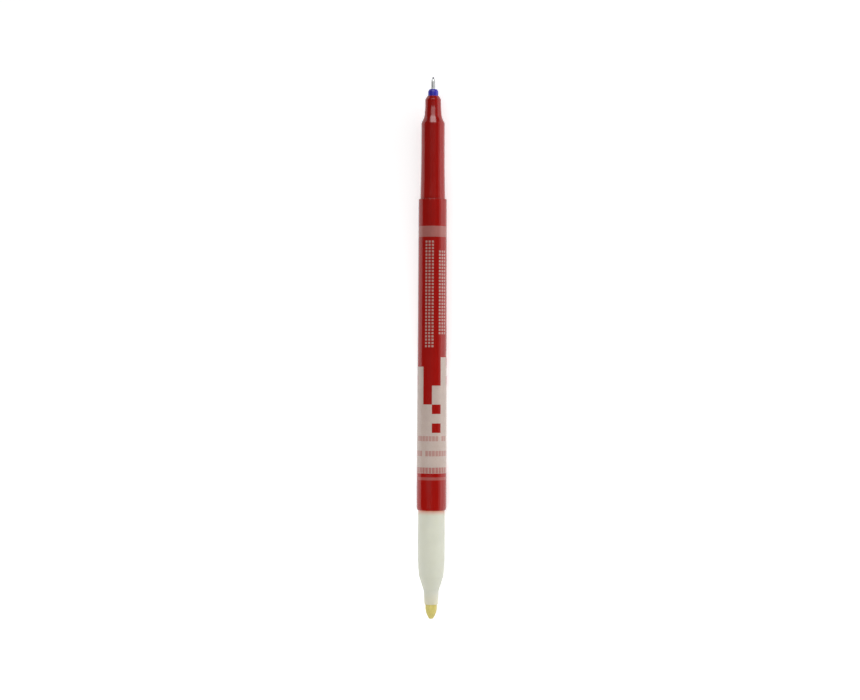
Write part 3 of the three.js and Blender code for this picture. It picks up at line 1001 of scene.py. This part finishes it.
def hang_camera(settings):
    """Hangs the camera over the pen, and turns it so that the blue point is at the picture's top."""
    camera = bpy.data.objects.new("camera", bpy.data.cameras.new("camera"))
    camera.data.sensor_fit = "HORIZONTAL"
    camera.data.angle = 2 * math.atan(settings.camera_width / 2 / settings.camera_height)
    camera.data.clip_start = 0.01
    camera.location = (settings.camera_along, settings.camera_aside, AXIS + settings.camera_height)
    camera.rotation_euler = (0, 0, settings.camera_turn - math.pi / 2)
    bpy.context.scene.collection.objects.link(camera)
    bpy.context.scene.camera = camera


class PEN_OT_stage(bpy.types.Operator):
    """Sets up the floor, the room's light, the lamps and the camera"""

    bl_idname = "eraser_pen.stage"
    bl_label = "Stage"

    def execute(self, context):
        settings = context.scene.pen_stage
        scene = context.scene
        scene.view_settings.view_transform = "Standard"
        lay_floor(settings.floor)
        fill_room(settings.ambient, settings.room)

        # Two windows beyond the point for the highlight on the flare
        area_lamp("high", (0.4, 0, 0.83), FLARE_PLACE, (0.9, 0.32), settings.high, matt=False)
        area_lamp("key", (0.73, 0, 0.6), FLARE_PLACE, (0.8, 0.46), settings.key, matt=False)

        # A low window at the picture's right and the bright wall round it, as shiny surfaces show them
        area_lamp("glint", (0.0, -0.7, 0.11), (0, 0, 0), (1.2, 0.22), settings.glint, matt=False)
        area_lamp("haze", (0.0, -0.7, 0.24), (0, 0, 0), (1.2, 0.46), settings.haze, matt=False)

        # That window as matt surfaces show it, and a lamp above the eraser end
        area_lamp("side", (0.12, -0.3, 0.09), (0.03, 0, 0), (0.3, 0.14), settings.side, shiny=False)
        area_lamp("top", (-0.06, 0.035, 0.11), (-0.06, 0, 0), (0.08, 0.08), settings.top, shiny=False)
        hang_camera(settings)
        return {"FINISHED"}


OPERATORS = (
    PEN_OT_barrel,
    PEN_OT_eraser_section,
    PEN_OT_eraser_nib,
    PEN_OT_grip_section,
    PEN_OT_fine_point,
    PEN_OT_inside,
    PEN_OT_stage,
)
SETTINGS = {
    "pen_barrel": BarrelSettings,
    "pen_eraser_end": EraserEndSettings,
    "pen_blue_end": BlueEndSettings,
    "pen_stage": StageSettings,
}


class PEN_PT_panel(bpy.types.Panel):
    """Lists the pen's settings and its operators"""

    bl_idname = "PEN_PT_panel"
    bl_label = "Ink Eraser Pen"
    bl_space_type = "VIEW_3D"
    bl_region_type = "UI"
    bl_category = "Eraser Pen"

    def draw(self, context):
        layout = self.layout
        for group, kind in SETTINGS.items():
            box = layout.box()
            for name in kind.__annotations__:
                box.prop(getattr(context.scene, group), name)
        for operator in OPERATORS:
            layout.operator(operator.bl_idname)


def register():
    for kind in SETTINGS.values():
        bpy.utils.register_class(kind)
    for group, kind in SETTINGS.items():
        setattr(bpy.types.Scene, group, PointerProperty(type=kind))
    for kind in (*OPERATORS, PEN_PT_panel):
        bpy.utils.register_class(kind)


def unregister():
    for kind in (PEN_PT_panel, *reversed(OPERATORS)):
        bpy.utils.unregister_class(kind)
    for group in SETTINGS:
        delattr(bpy.types.Scene, group)
    for kind in reversed(SETTINGS.values()):
        bpy.utils.unregister_class(kind)


def main():
    """Registers the add-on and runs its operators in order."""
    register()
    bpy.ops.eraser_pen.barrel()
    bpy.ops.eraser_pen.eraser_section()
    bpy.ops.eraser_pen.eraser_nib()
    bpy.ops.eraser_pen.grip_section()
    bpy.ops.eraser_pen.fine_point()
    bpy.ops.eraser_pen.inside()
    bpy.ops.eraser_pen.stage()


if __name__ == "__main__":
    main()
